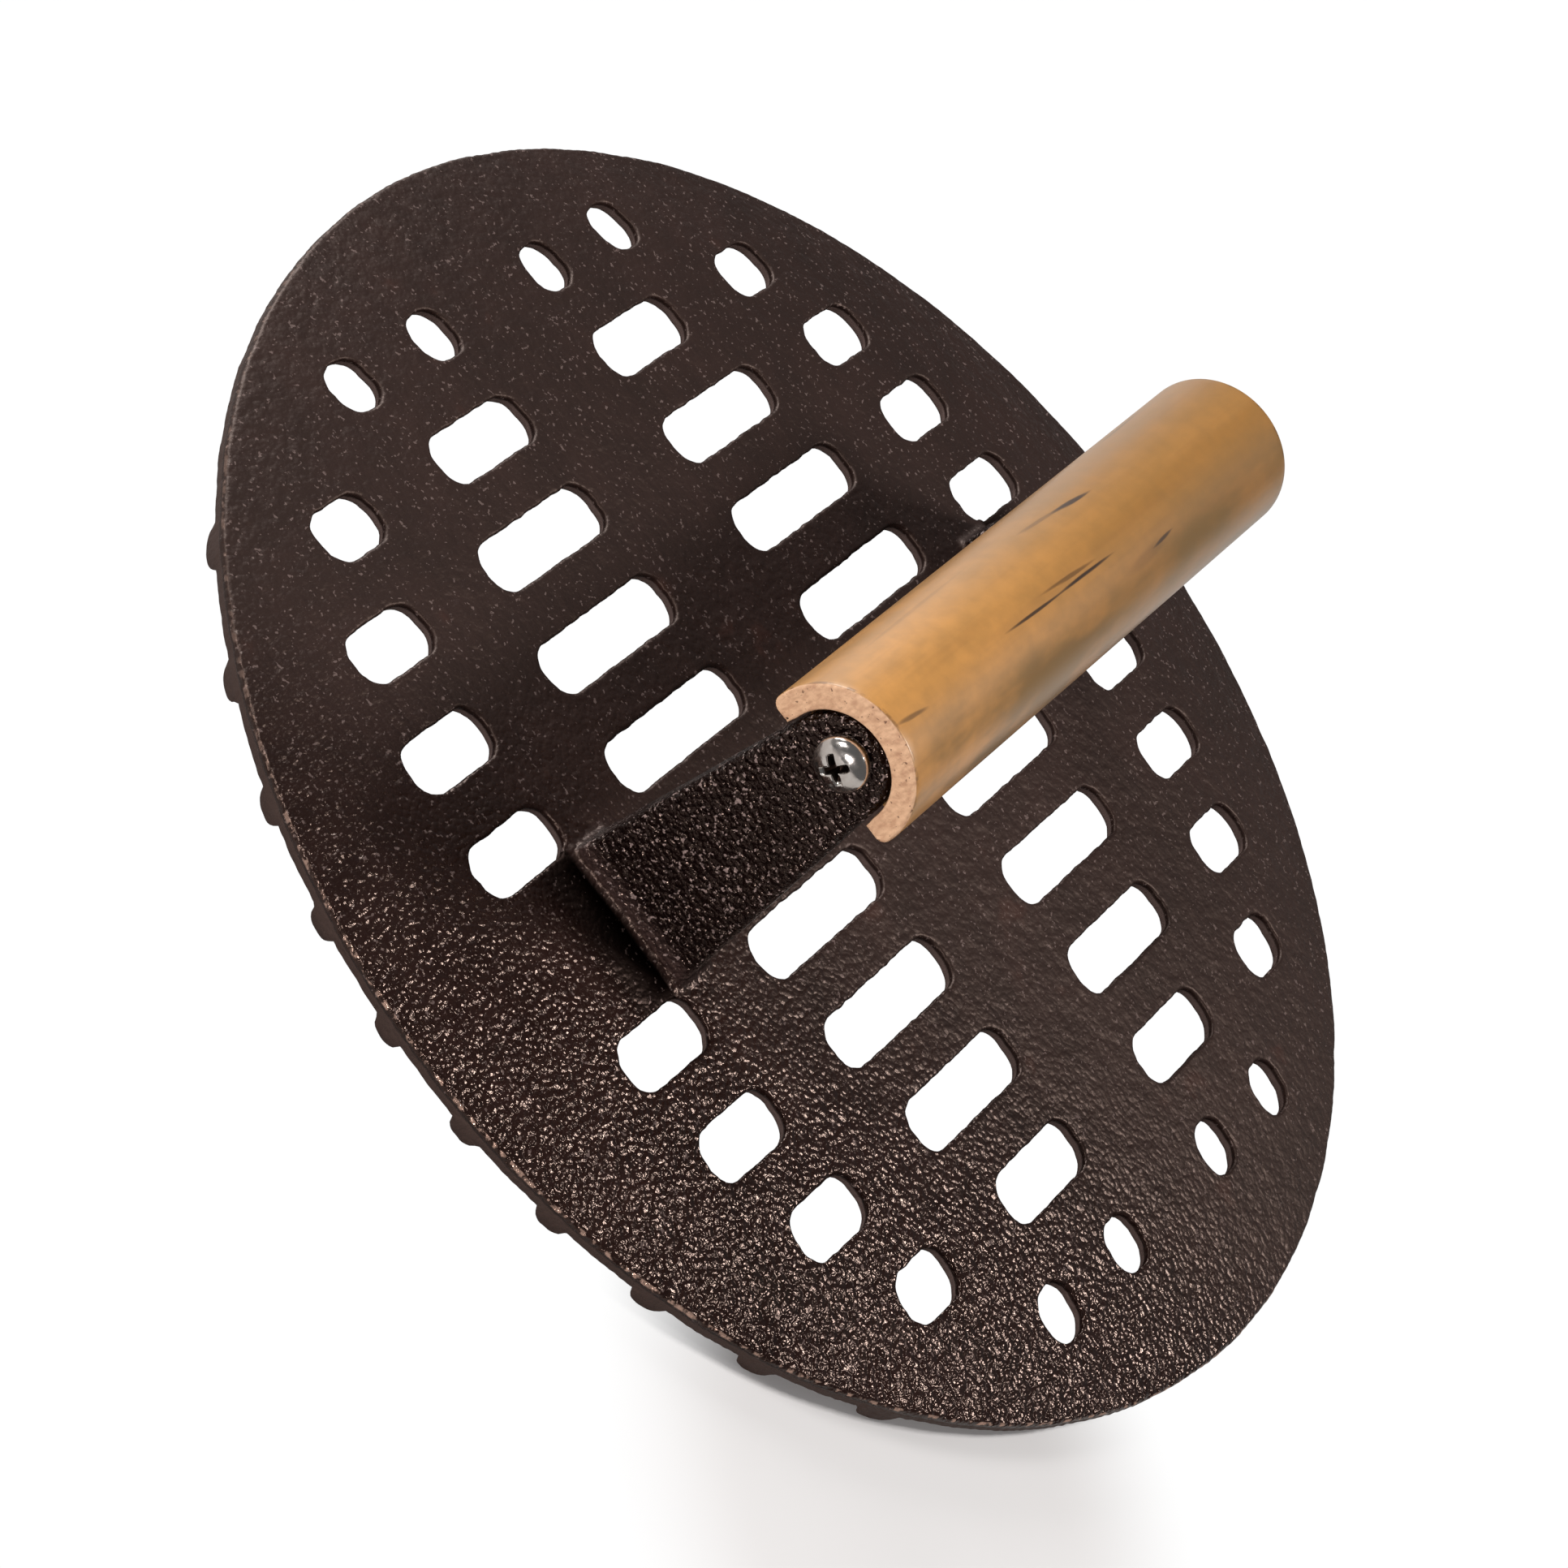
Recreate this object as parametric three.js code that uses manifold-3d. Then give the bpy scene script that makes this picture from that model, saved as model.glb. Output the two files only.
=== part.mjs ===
// Round grill press: a domed, slotted cast plate with two uprights cast in one
// with it, and a half-round wooden grip held between them by two pan-head screws.
// Millimetres, +Z up. The origin is the centre of the plate's footprint, on the
// plane that the ribs' undersides share. The grip lies along X.

import * as THREE from 'three';
import { mergeVertices } from 'three/addons/utils/BufferGeometryUtils.js';
import Module from 'manifold-3d';

const wasm = await Module();
wasm.setup();

// Plate
const PLATE_DIAMETER = 230;
const PLATE_THICKNESS = 3;
const CROWN_RISE = 5.8; // the middle of the plate above its rim
const CROWN_POWER = 4; // a high power keeps the middle flat and bends near the rim
const RIM_CHAMFER = 0.5;

// Ribs under the plate
const RIB_DEPTH = 2; // below the plate at the rim
const RIB_WIDTH = 5.5;
const RIB_SETBACK = 0.3; // rib ends stand back from the rim

// Slots, in straight rows along X on both sides of the handle
const ROW_PITCH = 18;
const SLOT_WIDTH = 9.2;
const SLOT_CORNER_RADIUS = 3.8;
const SLOT_END_MARGIN = 28; // rim to slot end, along the handle
const SLOT_SIDE_MARGIN = 17.6; // rim to the end of the slot field, across the handle
const FIELD_POWER = 2.5; // the slot field is a superellipse of this power
const CENTRE_BRIDGE = 24.6; // solid strip across the middle of each row
const RING_BRIDGE = 17.5; // solid strip between inner and outer slots
const RING_SHARE = 0.67; // where that strip lies, as a share of the row

// Uprights
const FOOT_MARGIN = 0.6; // foot to the slot rows on both sides of the handle
const UPRIGHT_TOP_WIDTH = 17; // its top is a half circle of this diameter
const UPRIGHT_TOP_THICKNESS = 5.3;
const OUTER_DRAFT = 2.6; // the foot stands this much further out than the top
const INNER_DRAFT = 1;
const FOOT_FILLET = 1.5;

// Grip
const GRIP_LENGTH = 130;
const GRIP_RADIUS = 13.2;
const GRIP_FLAT_DROP = 2.1; // flat underside below the centre of the round
const GRIP_CORNER_RADIUS = 1.6;
const HAND_CLEARANCE = 44.5; // crown to the grip's underside

// Screws
const HEAD_DIAMETER = 9;
const HEAD_HEIGHT = 3.5;
const HEAD_EDGE = 1; // straight edge of the head, before it domes over
const SHANK_DIAMETER = 4.8;
const SHANK_LENGTH = 28;
const SHANK_TIP = 5;
const SCREW_RISE = 2.7; // screw axis above the centre of the grip's round
const RECESS_SPAN = 4.8;
const RECESS_BLADE = 1.1;
const RECESS_DEPTH = 2.4;

// Clearances
const SOCKET_GAP = 0.5; // upright's round top to the grip's socket
const SEAT_GAP = 0.3; // faces and shanks that meet
const OVERLAP = 1; // how far cutters and joined blocks run past a surface

// Fineness of the facets
const TURN_SEGMENTS = 64;
const CROWN_STEPS = 6;
const CORNER_STEPS = 3;
const ARCH_STEPS = 12;
const FILLET_STEPS = 3;
const BORE_SEGMENTS = 16;
const SCREW_SEGMENTS = 24;
const DOME_STEPS = 4;

// Worked out from the values above
const RIM_RADIUS = PLATE_DIAMETER / 2;
const RIM_TOP = RIB_DEPTH + PLATE_THICKNESS;
const GRIP_UNDERSIDE = RIM_TOP + CROWN_RISE + HAND_CLEARANCE;
const GRIP_AXIS = GRIP_UNDERSIDE + GRIP_FLAT_DROP;
const SCREW_AXIS = GRIP_AXIS + SCREW_RISE;
const TOP_RADIUS = UPRIGHT_TOP_WIDTH / 2;
const UPRIGHT_TOP = GRIP_AXIS + TOP_RADIUS;
const UPRIGHT_OUTER = GRIP_LENGTH / 2; // outer face at the top, flush with the grip
const UPRIGHT_INNER = UPRIGHT_OUTER - UPRIGHT_TOP_THICKNESS;
const FOOT_HALF_WIDTH = ROW_PITCH - SLOT_WIDTH / 2 - FOOT_MARGIN;
const FIELD_LENGTH = RIM_RADIUS - SLOT_END_MARGIN;
const FIELD_WIDTH = RIM_RADIUS - SLOT_SIDE_MARGIN;

// Height of the plate's upper surface at a distance from the centre.
const plateTop = (radius) =>
  RIM_TOP + CROWN_RISE * (1 - (radius / RIM_RADIUS) ** CROWN_POWER);
const UPRIGHT_FOOT = plateTop(UPRIGHT_OUTER);

// Distance of the upright's faces from the middle plane at a height.
const draftAt = (z) => (UPRIGHT_TOP - z) / (UPRIGHT_TOP - UPRIGHT_FOOT);
const outerFaceAt = (z) => UPRIGHT_OUTER + OUTER_DRAFT * draftAt(z);
const innerFaceAt = (z) => UPRIGHT_INNER - INNER_DRAFT * draftAt(z);

// ---- joining and cutting ----

function toSolid(geometry) {
  const bare = geometry.clone();
  bare.deleteAttribute('normal');
  bare.deleteAttribute('uv');
  const merged = mergeVertices(bare, 1e-5);
  const corners = merged.index.array;
  const kept = [];
  for (let i = 0; i < corners.length; i += 3) {
    const [a, b, c] = [corners[i], corners[i + 1], corners[i + 2]];
    if (a !== b && b !== c && c !== a) kept.push(a, b, c);
  }
  return new wasm.Manifold(
    new wasm.Mesh({
      numProp: 3,
      vertProperties: new Float32Array(merged.attributes.position.array),
      triVerts: new Uint32Array(kept),
    }),
  );
}

function toGeometry(solid) {
  const mesh = solid.getMesh();
  const geometry = new THREE.BufferGeometry();
  geometry.setAttribute('position', new THREE.BufferAttribute(mesh.vertProperties, 3));
  geometry.setIndex(new THREE.BufferAttribute(mesh.triVerts, 1));
  geometry.computeVertexNormals();
  return geometry;
}

// A solid of revolution about Z from an outline of [radius, height] points that
// starts and ends on the axis, going outwards along its underside first.
function turned(outline, segments) {
  const points = outline.map(([radius, height]) => new THREE.Vector2(radius, height));
  return new THREE.LatheGeometry(points, segments).rotateX(Math.PI / 2);
}

// A flat outline drawn in X and Y, extruded upwards from one height to another.
function raised(shape, from, to, curveSegments) {
  const options = { depth: to - from, bevelEnabled: false, curveSegments };
  return new THREE.ExtrudeGeometry(shape, options).translate(0, 0, from);
}

// An outline drawn in Y and Z, extruded along X from one distance to another.
function alongX(shape, from, to, curveSegments) {
  const turn = new THREE.Matrix4().makeBasis(
    new THREE.Vector3(0, 1, 0),
    new THREE.Vector3(0, 0, 1),
    new THREE.Vector3(1, 0, 0),
  );
  return raised(shape, from, to, curveSegments).applyMatrix4(turn);
}

// ---- plate ----

// Radii at which the crown is drawn: close together where it bends most.
const crownRadii = Array.from(
  { length: CROWN_STEPS + 1 },
  (_, step) => RIM_RADIUS * Math.sqrt(step / CROWN_STEPS),
);

function plateSolid() {
  const underside = crownRadii.map((radius) => [radius, plateTop(radius) - PLATE_THICKNESS]);
  const top = crownRadii.slice(0, -1).map((radius) => [radius, plateTop(radius)]);
  const rim = [
    [RIM_RADIUS, RIM_TOP - RIM_CHAMFER],
    [RIM_RADIUS - RIM_CHAMFER, RIM_TOP],
  ];
  return toSolid(turned([...underside, ...rim, ...top.reverse()], TURN_SEGMENTS));
}

// Half the length of a slot row at a distance from the handle.
function rowReach(y) {
  const share = (y / FIELD_WIDTH) ** FIELD_POWER;
  return FIELD_LENGTH * Math.max(0, 1 - share) ** (1 / FIELD_POWER);
}

// The two slots on one side of a row, as [start, end] distances along X. A slot
// is never shorter than it is wide, so the shortest row holds round holes.
function slotSpans(y) {
  const reach = rowReach(y);
  const ring = RING_SHARE * reach;
  const innerStart = CENTRE_BRIDGE / 2;
  const innerEnd = Math.max(ring - RING_BRIDGE / 2, innerStart + SLOT_WIDTH);
  const outerStart = Math.min(ring + RING_BRIDGE / 2, reach - SLOT_WIDTH);
  return [[innerStart, innerEnd], [outerStart, reach]];
}

// Rows that still have room for two slots and a strip between them.
const rows = [];
for (let row = 1; ; row += 1) {
  const y = row * ROW_PITCH;
  if (y >= FIELD_WIDTH) break;
  const [inner, outer] = slotSpans(y);
  if (outer[0] - inner[1] < SLOT_WIDTH / 2) break;
  rows.push(y);
}

function slotOutline([start, end], y) {
  const half = SLOT_WIDTH / 2;
  const round = Math.min(SLOT_CORNER_RADIUS, half, (end - start) / 2);
  const shape = new THREE.Shape();
  shape.absarc(end - round, y - half + round, round, -Math.PI / 2, 0);
  shape.absarc(end - round, y + half - round, round, 0, Math.PI / 2);
  shape.absarc(start + round, y + half - round, round, Math.PI / 2, Math.PI);
  shape.absarc(start + round, y - half + round, round, Math.PI, 1.5 * Math.PI);
  return shape;
}

function slotCutter(span, y) {
  return toSolid(raised(slotOutline(span, y), 0, RIM_TOP + CROWN_RISE + OVERLAP, CORNER_STEPS));
}

function slotCutters() {
  const cutters = [];
  for (const y of rows) {
    for (const [start, end] of slotSpans(y)) {
      for (const side of [-1, 1]) {
        cutters.push(slotCutter([start, end], side * y));
        cutters.push(slotCutter([-end, -start], side * y));
      }
    }
  }
  return cutters;
}

// ---- ribs ----

// One rib midway between neighbouring rows, all ending on one level below.
function ribsSolid() {
  const reach = RIM_RADIUS - RIB_SETBACK;
  const roof = crownRadii.map((radius) => [
    radius * (reach / RIM_RADIUS),
    plateTop(radius) - PLATE_THICKNESS / 2,
  ]);
  const envelope = toSolid(turned([[0, 0], [reach, 0], ...roof.reverse()], TURN_SEGMENTS));
  const height = RIM_TOP + CROWN_RISE;
  const blocks = rows.flatMap((y) => [y - ROW_PITCH / 2, ROW_PITCH / 2 - y]).map((y) => {
    const block = new THREE.BoxGeometry(PLATE_DIAMETER, RIB_WIDTH, height + OVERLAP);
    return toSolid(block.translate(0, y, (height - OVERLAP) / 2));
  });
  return wasm.Manifold.union(blocks).intersect(envelope);
}

// ---- uprights ----

// One flank of an upright from its foot to its top, with a hollow fillet below,
// as points that a mirrored flank completes.
function flank(halfAt, top) {
  const points = [];
  for (let step = 0; step <= FILLET_STEPS; step += 1) {
    const angle = (step / FILLET_STEPS) * (Math.PI / 2);
    const z = UPRIGHT_FOOT + FOOT_FILLET * (1 - Math.cos(angle));
    points.push([halfAt(z) + FOOT_FILLET * (1 - Math.sin(angle)), z]);
  }
  return [...points, [halfAt(top), top]];
}

function frontShape() {
  const halfAt = (z) => {
    const share = Math.min(1, Math.max(0, (GRIP_AXIS - z) / (GRIP_AXIS - UPRIGHT_FOOT)));
    return TOP_RADIUS + (FOOT_HALF_WIDTH - TOP_RADIUS) * share;
  };
  const sideways = flank(halfAt, GRIP_AXIS);
  const foot = UPRIGHT_FOOT - PLATE_THICKNESS / 2;
  const shape = new THREE.Shape();
  shape.moveTo(-sideways[0][0], foot);
  shape.lineTo(sideways[0][0], foot);
  for (const [y, z] of sideways) shape.lineTo(y, z);
  shape.absarc(0, GRIP_AXIS, TOP_RADIUS, 0, Math.PI);
  for (const [y, z] of sideways.slice().reverse()) shape.lineTo(-y, z);
  return shape;
}

function sideShape() {
  const outer = flank(outerFaceAt, UPRIGHT_TOP + OVERLAP);
  const inner = flank((z) => -innerFaceAt(z), UPRIGHT_TOP + OVERLAP);
  const foot = UPRIGHT_FOOT - PLATE_THICKNESS / 2;
  const shape = new THREE.Shape();
  shape.moveTo(-inner[0][0], foot);
  shape.lineTo(outer[0][0], foot);
  for (const [x, z] of outer) shape.lineTo(x, z);
  for (const [x, z] of inner.slice().reverse()) shape.lineTo(-x, z);
  return shape;
}

// The front outline carried along X, trimmed by the side outline carried along Y.
function uprightSolid(side) {
  const reach = FOOT_HALF_WIDTH + FOOT_FILLET + OVERLAP;
  const front = toSolid(alongX(frontShape(), 0, RIM_RADIUS, ARCH_STEPS));
  const lying = raised(sideShape(), -reach, reach, 1).rotateX(Math.PI / 2);
  const hole = new THREE.CylinderGeometry(
    SHANK_DIAMETER / 2 + SEAT_GAP,
    SHANK_DIAMETER / 2 + SEAT_GAP,
    2 * RIM_RADIUS,
    BORE_SEGMENTS,
  );
  hole.rotateZ(Math.PI / 2).translate(0, 0, SCREW_AXIS);
  const solid = front.intersect(toSolid(lying)).subtract(toSolid(hole));
  return side > 0 ? solid : solid.rotate([0, 0, 180]);
}

function castingGeometry() {
  const slotted = plateSolid().subtract(wasm.Manifold.union(slotCutters()));
  const parts = [slotted, ribsSolid(), uprightSolid(1), uprightSolid(-1)];
  return toGeometry(wasm.Manifold.union(parts));
}

// ---- grip ----

// Half-round section: an arc of the grip's radius down to the flat underside,
// with the two lower corners rounded.
function gripShape() {
  const round = GRIP_CORNER_RADIUS;
  const cornerHeight = GRIP_UNDERSIDE + round;
  const drop = GRIP_AXIS - cornerHeight;
  const cornerReach = Math.sqrt((GRIP_RADIUS - round) ** 2 - drop ** 2);
  const meets = Math.atan2(drop, cornerReach);
  const shape = new THREE.Shape();
  shape.absarc(cornerReach, cornerHeight, round, -Math.PI / 2, -meets);
  shape.absarc(0, GRIP_AXIS, GRIP_RADIUS, -meets, Math.PI + meets);
  shape.absarc(-cornerReach, cornerHeight, round, Math.PI + meets, 1.5 * Math.PI);
  return shape;
}

// The socket follows the upright's round top and is open below.
function socketShape() {
  const round = TOP_RADIUS + SOCKET_GAP;
  const shape = new THREE.Shape();
  const flare = round + SOCKET_GAP;
  shape.moveTo(-flare, GRIP_UNDERSIDE - OVERLAP);
  shape.lineTo(flare, GRIP_UNDERSIDE - OVERLAP);
  shape.absarc(0, GRIP_AXIS, round, 0, Math.PI);
  return shape;
}

function gripGeometry() {
  const bar = toSolid(alongX(gripShape(), -GRIP_LENGTH / 2, GRIP_LENGTH / 2, 2 * ARCH_STEPS));
  const floor = innerFaceAt(GRIP_UNDERSIDE) - SEAT_GAP;
  const end = GRIP_LENGTH / 2 + OVERLAP;
  const bore = new THREE.CylinderGeometry(
    SHANK_DIAMETER / 2 + SEAT_GAP,
    SHANK_DIAMETER / 2 + SEAT_GAP,
    SHANK_LENGTH,
    BORE_SEGMENTS,
  );
  bore.rotateZ(Math.PI / 2).translate(screwSeat() - SHANK_LENGTH / 2 - SEAT_GAP, 0, SCREW_AXIS);
  const cut = toSolid(alongX(socketShape(), floor, end, ARCH_STEPS)).add(toSolid(bore));
  return toGeometry(bar.subtract(cut).subtract(cut.rotate([0, 0, 180])));
}

// ---- screws ----

// The head's underside clears the leaning face at the head's lower edge.
function screwSeat() {
  return outerFaceAt(SCREW_AXIS - HEAD_DIAMETER / 2) + SEAT_GAP;
}

// A pan-head screw along Z: its head's underside at 0, its shank below.
function screwSolid() {
  const half = HEAD_DIAMETER / 2;
  const shank = SHANK_DIAMETER / 2;
  const dome = [];
  for (let step = 0; step <= DOME_STEPS; step += 1) {
    const angle = (step / DOME_STEPS) * (Math.PI / 2);
    dome.push([half * Math.cos(angle), HEAD_EDGE + (HEAD_HEIGHT - HEAD_EDGE) * Math.sin(angle)]);
  }
  dome[dome.length - 1][0] = 0;
  const outline = [
    [0, -SHANK_LENGTH],
    [shank, SHANK_TIP - SHANK_LENGTH],
    [shank, 0],
    [half, 0],
    ...dome,
  ];
  const blades = [0, Math.PI / 2].map((turn) => {
    const blade = new THREE.BoxGeometry(RECESS_SPAN, RECESS_BLADE, 2 * RECESS_DEPTH);
    return toSolid(blade.rotateZ(turn).translate(0, 0, HEAD_HEIGHT));
  });
  return toSolid(turned(outline, SCREW_SEGMENTS)).subtract(blades[0].add(blades[1]));
}

// ---- assembly ----

const castIron = new THREE.MeshStandardMaterial({
  color: 0x2b211f,
  roughness: 0.55,
  metalness: 0.6,
});
const wood = new THREE.MeshStandardMaterial({ color: 0xc68f55, roughness: 0.4, metalness: 0 });
const nickel = new THREE.MeshStandardMaterial({ color: 0xd8d4cf, roughness: 0.15, metalness: 1 });

function part(name, geometry, material) {
  const mesh = new THREE.Mesh(geometry, material);
  mesh.name = name;
  return mesh;
}

const group = new THREE.Group();
group.add(part('press_casting', castingGeometry(), castIron));
group.add(part('wooden_grip', gripGeometry(), wood.clone()));

const screwGeometry = toGeometry(screwSolid());
for (const [name, side] of [['grip_screw_left', -1], ['grip_screw_right', 1]]) {
  const screw = part(name, screwGeometry, nickel.clone());
  screw.rotation.y = (side * Math.PI) / 2;
  screw.position.set(side * screwSeat(), 0, SCREW_AXIS);
  group.add(screw);
}

export default group;
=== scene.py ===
"""A round cast-iron grill press with a wooden grip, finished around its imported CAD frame.

The casting, the grip and the screws are surfaces worked out with numpy in millimetres and put
into the scene in metres. The grip lies along X, the plate's ribs stand on Z = 0.
"""
import math

import bmesh
import bpy
import numpy as np
from mathutils import Matrix, Vector
from mathutils.geometry import delaunay_2d_cdt


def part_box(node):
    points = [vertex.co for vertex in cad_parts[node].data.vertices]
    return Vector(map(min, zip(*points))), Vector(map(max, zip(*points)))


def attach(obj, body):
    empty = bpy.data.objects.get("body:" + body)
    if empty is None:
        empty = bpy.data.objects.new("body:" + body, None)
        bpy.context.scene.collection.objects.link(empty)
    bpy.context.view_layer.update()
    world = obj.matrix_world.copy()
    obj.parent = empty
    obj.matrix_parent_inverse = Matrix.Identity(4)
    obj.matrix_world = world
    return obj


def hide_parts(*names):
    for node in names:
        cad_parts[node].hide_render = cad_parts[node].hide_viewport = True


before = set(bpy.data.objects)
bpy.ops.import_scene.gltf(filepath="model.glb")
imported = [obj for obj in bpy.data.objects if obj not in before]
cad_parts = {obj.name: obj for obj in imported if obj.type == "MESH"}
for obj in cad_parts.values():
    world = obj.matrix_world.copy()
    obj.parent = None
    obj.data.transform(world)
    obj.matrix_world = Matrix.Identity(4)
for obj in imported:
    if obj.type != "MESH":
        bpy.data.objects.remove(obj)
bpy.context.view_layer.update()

MM = 0.001

# ---- the press's own sizes, in millimetres, read from the frame where it holds them ----

casting_low, casting_high = (np.array(c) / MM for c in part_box("press_casting"))
grip_low, grip_high = (np.array(c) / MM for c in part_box("wooden_grip"))
screw_low, screw_high = (np.array(c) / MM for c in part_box("grip_screw_right"))

# Plate
RIM_RADIUS = round((casting_high[0] - casting_low[0]) / 2, 2)
PLATE_THICKNESS = 3.0
CROWN_RISE = 5.8
CROWN_POWER = 4
RIB_DEPTH = 2.0
RIB_WIDTH = 5.5
RIB_ROUND = 2.3          # its lower corners round over this much of its width
RIM_TOP = RIB_DEPTH + PLATE_THICKNESS
RIM_EDGE_ROUND = 0.6
TOP_EDGE_ROUND = 0.55
BOTTOM_EDGE_ROUND = 0.9
EDGE_COLLAR = 0.35       # a loop this far outside each rounded edge keeps the face flat
RIM_WAVER_LIMIT = 0.3    # the rim's edge wavers by no more than this
RIM_LOWER_ROUND = 0.45
RIM_LOWER_INSET = 0.1
RIM_STEP = 0.5
FACE_SPACING = 1.3       # between the points inside the upper face
UNDERSIDE_SPACING = 2.6  # between the points along a rib
OUTLINE_GAP = 0.55       # those points stay this far from a slot's or foot's outline
RIM_GAP = 1.6            # and this far inside the rim

# Slots
ROW_PITCH = 18.0
ROW_COUNT = 5
SLOT_WIDTH = 9.2
SLOT_CORNER_RADIUS = 3.8
SLOT_END_MARGIN = 28.0
SLOT_SIDE_MARGIN = 17.6
FIELD_POWER = 2.5
CENTRE_BRIDGE = 24.6
RING_BRIDGE = 17.5
RING_SHARE = 0.67
SLOT_DRAFT = 0.35        # a slot is wider below by this much all round
SLOT_STEP = 0.6

# Uprights
GRIP_RADIUS = 13.2
GRIP_AXIS = round(grip_high[2], 2) - GRIP_RADIUS
GRIP_UNDERSIDE = round(grip_low[2], 2)
UPRIGHT_OUTER = round(grip_high[0], 2)
UPRIGHT_INNER = UPRIGHT_OUTER - 5.3
OUTER_DRAFT = 2.6
INNER_DRAFT = 1.0
TOP_RADIUS = 8.5
FOOT_HALF_WIDTH = ROW_PITCH - SLOT_WIDTH / 2 - 0.6
FOOT_FILLET = 1.5
UPRIGHT_EDGE_ROUND = 1.3
UPRIGHT_TOP = GRIP_AXIS + TOP_RADIUS
SETTLE_HEIGHT = 6.0      # below this height over its foot an upright follows the plate's skin
CORNER_POINTS = 7        # points of a section at each rounded corner,
FLANK_POINTS = 5         # between them along a flank,
FACE_POINTS = 13         # and along a face

# Grip
GRIP_END = UPRIGHT_OUTER
GRIP_CORNER_RADIUS = 1.6
SOCKET_RADIUS = TOP_RADIUS + 0.5
SOCKET_FLOOR = UPRIGHT_INNER - 1.1
GRIP_EDGE_ROUND = 0.5
SOCKET_MOUTH = SOCKET_RADIUS + 0.34
GRIP_POINTS = 121        # points of the outside's line and of the socket's

# Screws
HEAD_RADIUS = round((screw_high[1] - screw_low[1]) / 2, 2)
HEAD_HEIGHT = 3.5
HEAD_EDGE = 1.0
DOME_POWER = 2.3
SCREW_AXIS = round((screw_high[2] + screw_low[2]) / 2, 2)
SCREW_SEAT = screw_high[0] - HEAD_HEIGHT
SHANK_LENGTH = SCREW_SEAT - screw_low[0]
SHANK_RADIUS = 2.4
SHANK_TIP = 5.0
BORE_RADIUS = SHANK_RADIUS + 0.3
THREAD_PITCH = 1.8
THREAD_DEPTH = 0.55
THREAD_STEPS = 11        # rings in one pitch
PLAIN_LENGTH = 7.0       # the shank is plain for this far under the head
PLAIN_SHARE = 0.4        # and this share of the thread's depth thinner than the crests
TIP_POWER = 0.8
RECESS_SPAN = 4.8
RECESS_BLADE = 1.15
RECESS_DEPTH = 2.3
RECESS_LIP = 0.3         # the recess opens this much wider where it meets the dome
SCREW_POINTS = 128

# Floor, in metres
FLOOR_REACH = 6.0
FLOOR_LEVEL = -0.0002
SHADOW_PLACE = (-0.085, -0.095)
SHADOW_FULL = 0.030      # the shadow shows in full to this distance from its place
SHADOW_GONE = 0.065


# ---- putting worked-out points into meshes ----

def closed_mesh(name, points, triangles):
    """A mesh in metres from points in millimetres and triangles: points that coincide are
    welded, triangles that this flattens are dropped, and the normals are recalculated."""
    keys = np.round(points * 5e3).astype(np.int64)
    _, first, place = np.unique(keys, axis=0, return_index=True, return_inverse=True)
    corners = place.reshape(-1)[triangles]
    distinct = (corners != np.roll(corners, 1, axis=1)).all(1)
    mesh = bpy.data.meshes.new(name)
    mesh.from_pydata(points[first] * MM, [], corners[distinct])
    work = bmesh.new()
    work.from_mesh(mesh)
    bmesh.ops.recalc_face_normals(work, faces=work.faces)
    work.to_mesh(mesh)
    work.free()
    return mesh


def make_piece(name, mesh, material, node, crease):
    """Puts a finished mesh into the scene in place of a CAD node; edges that turn by more than
    crease degrees stay sharp."""
    mesh.polygons.foreach_set("use_smooth", np.ones(len(mesh.polygons), bool))
    mesh.set_sharp_from_angle(angle=math.radians(crease))
    mesh.materials.clear()
    mesh.materials.append(material)
    piece = bpy.data.objects.new(name, mesh)
    bpy.context.scene.collection.objects.link(piece)
    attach(piece, "root")
    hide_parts(node)


def bored(mesh, cutters):
    """The mesh with the closed cutter meshes taken out of it."""
    scene = bpy.context.scene.collection
    body = bpy.data.objects.new("body", mesh)
    scene.objects.link(body)
    tools = []
    for cutter in cutters:
        tool = bpy.data.objects.new("cutter", cutter)
        scene.objects.link(tool)
        tools.append(tool)
        cut = body.modifiers.new("bore", "BOOLEAN")
        cut.operation, cut.solver, cut.object = "DIFFERENCE", "EXACT", tool
    view = bpy.context.evaluated_depsgraph_get()
    result = bpy.data.meshes.new_from_object(body.evaluated_get(view))
    for thing in [body] + tools:
        bpy.data.objects.remove(thing)
    return result


class Shell:
    """Collects patches of points and faces that together close one surface."""

    def __init__(self):
        self.points = []
        self.triangles = []
        self.count = 0

    def add(self, points, faces):
        self.points.append(np.asarray(points, float))
        self.triangles.append(faces + self.count)
        self.count += len(points)

    def grid(self, patch, flip=False, wrap=False):
        """Faces over an array of rows of points; wrap joins each row's end to its start."""
        rows, cols = patch.shape[:2]
        index = np.arange(rows * cols).reshape(rows, cols)
        if wrap:
            index = np.concatenate([index, index[:, :1]], axis=1)
        a, b = index[:-1, :-1], index[:-1, 1:]
        c, d = index[1:, 1:], index[1:, :-1]
        halves = np.stack([a, b, c, a, c, d], axis=-1).reshape(-1, 3)
        self.add(patch.reshape(-1, 3), halves[:, ::-1] if flip else halves)

    def mesh(self, name):
        return closed_mesh(name, np.concatenate(self.points), np.concatenate(self.triangles))


def arc(centre, radius, start, end, count):
    """Points on a circle from one angle to another, in turns of a full circle."""
    angle = np.linspace(start, end, count) * 2 * np.pi
    return np.stack([centre[0] + radius * np.cos(angle), centre[1] + radius * np.sin(angle)], 1)


def spaced(outline, step):
    """A closed outline resampled at an even spacing close to step."""
    closed = np.vstack([outline, outline[:1]])
    along = np.concatenate([[0], np.cumsum(np.linalg.norm(np.diff(closed, axis=0), axis=1))])
    count = int(round(along[-1] / step))
    at = np.arange(count) * along[-1] / count
    return np.stack([np.interp(at, along, closed[:, k]) for k in (0, 1)], 1)


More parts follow.
